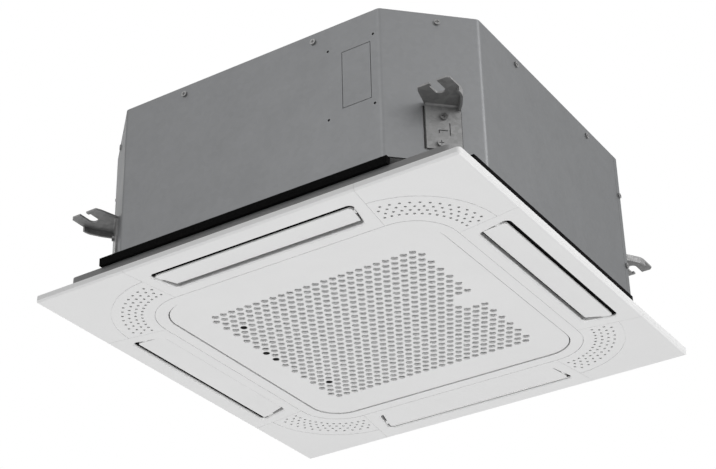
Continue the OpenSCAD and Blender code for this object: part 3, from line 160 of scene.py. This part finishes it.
def zinc(name, value, rough, spangle, streak, scale, metal=0.85, edge=0.45):
    """Zinc-coated sheet: faint crystals, long rolling streaks and a few dull patches.

    edge dims what it mirrors where it is seen at a flat angle.
    """
    m = Nodes(name)
    low, high = tone(value, spangle)
    crystals = m.new("ShaderNodeSeparateColor")
    m.link(m.cells(scale), crystals.inputs["Color"])
    base = m.ramp(crystals.outputs["Red"], [(0.0, low), (1.0, high)])
    patches = m.ramp(m.noise(7, 4, 0.6), [(0.3, 1 - streak), (0.7, 1.0)])
    base = m.mix(base, patches, 1.0, "MULTIPLY")
    lines = m.ramp(m.noise(60, 3, 0.6, m.place((1.0, 1.0, 14.0))), [(0.35, 1 - streak * 0.7), (0.65, 1.0)])
    m.colour(m.mix(base, lines, 1.0, "MULTIPLY"))
    m.rough(m.ramp(m.noise(22, 3, 0.6), [(0.3, rough[0]), (0.7, rough[1])]))
    m.set(Metallic=metal, Specular_Tint=(edge, edge, edge, 1))
    m.bump((m.noise(500, 2), 0.06, 0.0003), (m.noise(5, 2), 0.12, 0.004))
    return m.material


def foam(name, value):
    m = Nodes(name)
    low, high = tone(value, 0.35)
    m.colour(m.ramp(m.noise(900, 3), [(0.35, low), (0.65, high)]))
    m.rough(m.ramp(m.noise(700, 2), [(0.3, 0.86), (0.7, 0.97)]))
    m.set(Specular_IOR_Level=0.03)
    m.bump((m.cells(1400, out="Distance"), 0.5, 0.0006))
    return m.material


def beads(name, value):
    m = Nodes(name)
    low, high = tone(value, 0.03)
    m.colour(m.ramp(m.cells(260, out="Distance"), [(0.0, high), (0.8, low)]))
    m.rough(m.ramp(m.noise(60, 2), [(0.3, 0.75), (0.7, 0.88)]))
    m.bump((m.cells(260, "SMOOTH_F1", "Distance"), 0.35, 0.0008))
    return m.material


def weave(name, value):
    """Fine filter net: crossing threads with small holes between them."""
    m = Nodes(name)
    low, high = tone(value, 0.06)
    across = m.new("ShaderNodeTexWave", Scale=260, Distortion=0.0)
    across.bands_direction = "X"
    along = m.new("ShaderNodeTexWave", Scale=260, Distortion=0.0)
    along.bands_direction = "Y"
    spot = m.place()
    m.link(spot, across.inputs["Vector"])
    m.link(spot, along.inputs["Vector"])
    net = m.mix(across.outputs["Color"], along.outputs["Color"], 1.0, "LIGHTEN")
    m.colour(m.ramp(net, [(0.3, low), (0.8, high)]))
    m.rough(m.ramp(net, [(0.3, 0.85), (0.8, 0.7)]))
    m.bump((net, 0.4, 0.0004))
    return m.material


def metal(name, value, rough=(0.25, 0.4), spread=0.06):
    m = Nodes(name)
    low, high = tone(value, spread)
    m.colour(m.ramp(m.noise(120, 3), [(0.3, low), (0.7, high)]))
    m.rough(m.ramp(m.noise(90, 2), [(0.3, rough[0]), (0.7, rough[1])]))
    m.set(Metallic=1.0)
    m.bump((m.noise(900, 1), 0.04, 0.0002))
    return m.material


def fins(name, value):
    m = Nodes(name)
    low, high = tone(value, 0.25)
    edge = m.new("ShaderNodeTexWave", Scale=90, Distortion=0.3)
    edge.bands_direction = "DIAGONAL"
    m.link(m.place((1, 1, 0.02)), edge.inputs["Vector"])
    m.colour(m.ramp(edge.outputs["Fac"], [(0.25, low), (0.75, high)]))
    m.rough(m.ramp(m.noise(60, 2), [(0.3, 0.3), (0.7, 0.45)]))
    m.set(Metallic=0.9)
    m.bump((edge.outputs["Fac"], 0.6, 0.0006))
    return m.material


FINISHES = {
    "face_white": plastic("white_plastic", 0.80),
    "grey_plastic": plastic("grey_plastic", 0.2, 0.05, (0.45, 0.55)),
    "black_plastic": plastic("black_plastic", 0.008, 0.1, (0.75, 0.85), spec=0.06),
    "foam": foam("foam_strip", 0.006),
    "mesh": weave("filter_net", 0.8),
    "galvanised": zinc("zinc_sheet", (0.224, 0.228, 0.233), (0.46, 0.54), 0.02, 0.018, 160),
    "hanger_steel": zinc("zinc_hanger", 0.29, (0.38, 0.6), 0.13, 0.1, 200, 0.4, 0.8),
    "bright_steel": metal("plated_steel", 0.27),
    "polystyrene": beads("expanded_beads", 0.78),
    "coil_fins": fins("coil_fins", 0.6),
    "copper": metal("copper_tube", (0.72, 0.36, 0.2)),
    "motor_paint": plastic("motor_paint", 0.13, 0.04, (0.3, 0.4)),
    "fan_plastic": plastic("fan_plastic", 0.62, 0.03, (0.4, 0.5)),
    "board_green": plastic("board_green", (0.02, 0.13, 0.05), 0.1, (0.3, 0.4)),
    "terminal_white": plastic("terminal_white", 0.75, 0.02, (0.25, 0.35)),
    "brass": metal("brass", (0.68, 0.48, 0.2)),
}
for part in frame["record"]["subparts"]:
    piece = nodes[part["node"]]
    piece.data.materials.clear()
    piece.data.materials.append(FINISHES[part["material_slot"]])


# Stage: a pale floor far below the hanging unit, white surroundings and soft lamps.

FLOOR_HALF, FLOOR_Z = 30.0, -4.2
FLOOR_LIFT = 0.62
AMBIENT = 0.42
AIM = Vector((0, 0, 0.12))
LAMPS = (
    ("lamp_below", (0.2, -0.35, -3.0), 2.4, 46),
    ("lamp_right", (3.2, 0.1, 0.7), 2.0, 57),
    ("lamp_left", (-0.3, -3.2, 1.4), 2.0, 14),
    ("lamp_back", (-2.3, 2.5, 2.4), 2.2, 45),
)


def seen_or_mirrored(tree):
    """1 on rays from the camera and on those that a shiny or clear surface sends on."""
    path = tree.nodes.new("ShaderNodeLightPath")
    total = path.outputs["Is Camera Ray"]
    for name in ("Is Glossy Ray", "Is Transmission Ray"):
        most = tree.nodes.new("ShaderNodeMath")
        most.operation = "MAXIMUM"
        tree.links.new(total, most.inputs[0])
        tree.links.new(path.outputs[name], most.inputs[1])
        total = most.outputs[0]
    return total


def make_stage():
    """The floor adds FLOOR_LIFT to its own colour where it is seen or mirrored, so that it looks white."""
    corners = ((-1, -1), (1, -1), (1, 1), (-1, 1))
    data = bpy.data.meshes.new("floor")
    data.from_pydata([(FLOOR_HALF * x, FLOOR_HALF * y, FLOOR_Z) for x, y in corners], [], [(0, 1, 2, 3)])
    floor = bpy.data.objects.new("floor", data)
    bpy.context.collection.objects.link(floor)
    m = Nodes("floor")
    m.colour(m.ramp(m.noise(0.4, 2), [(0.3, 0.83), (0.7, 0.86)]))
    m.set(Roughness=0.9, Specular_IOR_Level=0.1, Emission_Color=(1, 1, 1, 1))
    lift = m.new("ShaderNodeMath", operation="MULTIPLY")
    lift.inputs[1].default_value = FLOOR_LIFT
    m.link(seen_or_mirrored(m.tree), lift.inputs[0])
    m.link(lift.outputs[0], m.shader.inputs["Emission Strength"])
    data.materials.append(m.material)


def make_world():
    """White where it is seen or mirrored, and AMBIENT as light."""
    world = bpy.data.worlds.new("world")
    scene.world = world
    world.use_nodes = True
    tree = world.node_tree
    tree.nodes.clear()
    out = tree.nodes.new("ShaderNodeOutputWorld")
    light = tree.nodes.new("ShaderNodeBackground")
    light.inputs["Color"].default_value = (1, 1, 1, 1)
    light.inputs["Strength"].default_value = AMBIENT
    seen = tree.nodes.new("ShaderNodeBackground")
    seen.inputs["Color"].default_value = (1, 1, 1, 1)
    seen.inputs["Strength"].default_value = 1.0
    mix = tree.nodes.new("ShaderNodeMixShader")
    tree.links.new(seen_or_mirrored(tree), mix.inputs["Fac"])
    tree.links.new(light.outputs[0], mix.inputs[1])
    tree.links.new(seen.outputs[0], mix.inputs[2])
    tree.links.new(mix.outputs[0], out.inputs["Surface"])


def lamp(name, place, size, power):
    """A square soft lamp, size metres wide and power watts strong, that faces the unit."""
    data = bpy.data.lights.new(name, "AREA")
    data.shape = "SQUARE"
    data.size = size
    data.energy = power
    made = bpy.data.objects.new(name, data)
    made.location = place
    made.rotation_mode = "QUATERNION"
    made.rotation_quaternion = (AIM - Vector(place)).to_track_quat("-Z", "Y")
    made.visible_camera = False
    bpy.context.collection.objects.link(made)


make_stage()
make_world()
for row in LAMPS:
    lamp(*row)
